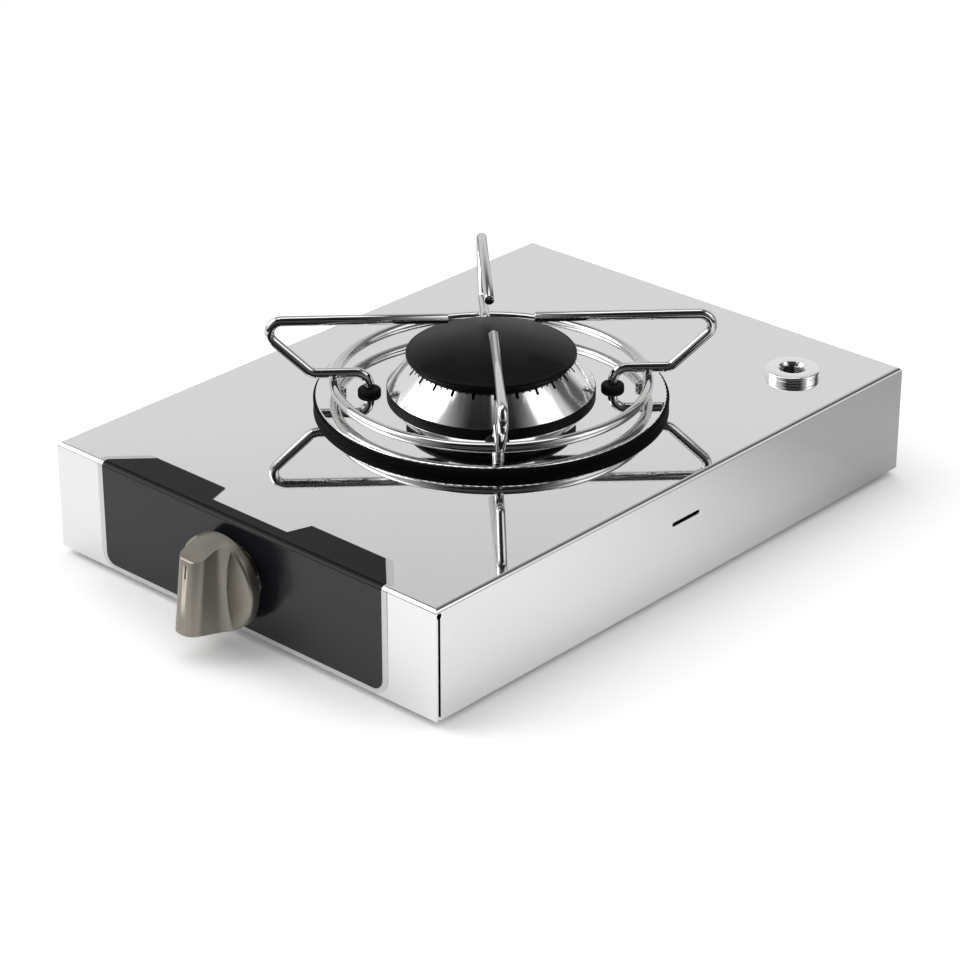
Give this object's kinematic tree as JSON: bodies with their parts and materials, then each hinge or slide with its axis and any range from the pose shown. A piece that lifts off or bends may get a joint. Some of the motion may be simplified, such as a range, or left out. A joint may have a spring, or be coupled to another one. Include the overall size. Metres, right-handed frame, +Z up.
{
  "type": "tabletop gas hob",
  "caption": "Flat tabletop gas hob with one burner: folded steel housing, lift-off wire pan support, slotted crown with a cap, and a control knob on the front.",
  "frame": {"origin": "on the floor under the middle of the overall box, knob included", "axes": "+Z up; the front wall with the knob faces -Y; +X is to the right seen from the front"},
  "size_m": [0.2176, 0.3296, 0.0928],
  "materials": {
    "stainless": "polished",
    "zinc_steel": "zinc plated",
    "rubber": "matte",
    "silver_film": "satin",
    "charcoal_film": "gloss",
    "brass": "machined",
    "copper": "drawn",
    "satin_nickel": "satin",
    "mark_paint": "matte",
    "wire": "polished",
    "polished_alloy": "polished",
    "enamel": "satin"
  },
  "bodies": {
    "base": {"top_sheet": "stainless", "front_wall": "stainless", "back_wall": "stainless", "left_wall": "stainless", "right_wall": "stainless", "bottom_flanges": "stainless", "base_plates": "zinc_steel", "base_screws": "zinc_steel", "rubber_feet": "rubber", "label_border": "silver_film", "label_panel": "charcoal_film", "plate_gasket": "rubber", "burner_plate": "stainless", "plate_screws": "zinc_steel", "plate_nuts": "zinc_steel", "leg_grommets": "rubber", "burner_cup": "zinc_steel", "injector_holder": "brass", "injector_jet": "brass", "burner_pipe": "copper", "feed_pipe": "copper", "pipe_nuts": "brass", "pipe_olives": "brass", "inlet_boss": "stainless", "inlet_washer": "copper", "inlet_locknut": "brass", "inlet_elbow": "brass", "tap_body": "brass", "tap_cover": "zinc_steel", "cover_screws": "zinc_steel", "tap_screws": "zinc_steel"},
    "tap_core": {"tap_plug": "brass", "tap_spring": "zinc_steel"},
    "knob_unit": {"spindle": "brass", "stop_pin": "zinc_steel", "knob": "satin_nickel", "knob_mark": "mark_paint", "knob_clip": "zinc_steel"},
    "pan_support": {"pan_ring": "wire", "pan_arm_front": "wire", "pan_arm_right": "wire", "pan_arm_back": "wire", "pan_arm_left": "wire"},
    "crown": {"crown_base": "enamel", "guide_ring": "enamel", "mixing_tube": "zinc_steel", "burner_crown": "polished_alloy"},
    "cap": {"burner_cap": "enamel"}
  },
  "joints": [
    {"name": "tap_turn", "type": "hinge", "parent": "base", "child": "tap_core", "pos_m": [-0.0025, -0.13522, 0.0277], "axis": [0, -1, 0], "range_deg": [0, 210]},
    {"name": "knob_push", "type": "slide", "parent": "tap_core", "child": "knob_unit", "axis": [0, 1, 0], "range_m": [0, 0.003], "stiffness_N_per_m": 1500, "springref_m": -0.003, "deforming": ["tap_spring"]},
    {"name": "pan_lift", "type": "slide", "parent": "base", "child": "pan_support", "axis": [0, 0, 1], "range_m": [0, 0.06]},
    {"name": "crown_lift", "type": "slide", "parent": "base", "child": "crown", "axis": [0, 0, 1], "range_m": [0, 0.0198]},
    {"name": "cap_lift", "type": "slide", "parent": "base", "child": "cap", "axis": [0, 0, 1], "range_m": [0, 0.0396]}
  ],
  "couplings": [
    {"joint": "crown_lift", "follows": "pan_lift", "ratio": 0.33},
    {"joint": "cap_lift", "follows": "pan_lift", "ratio": 0.66}
  ]
}
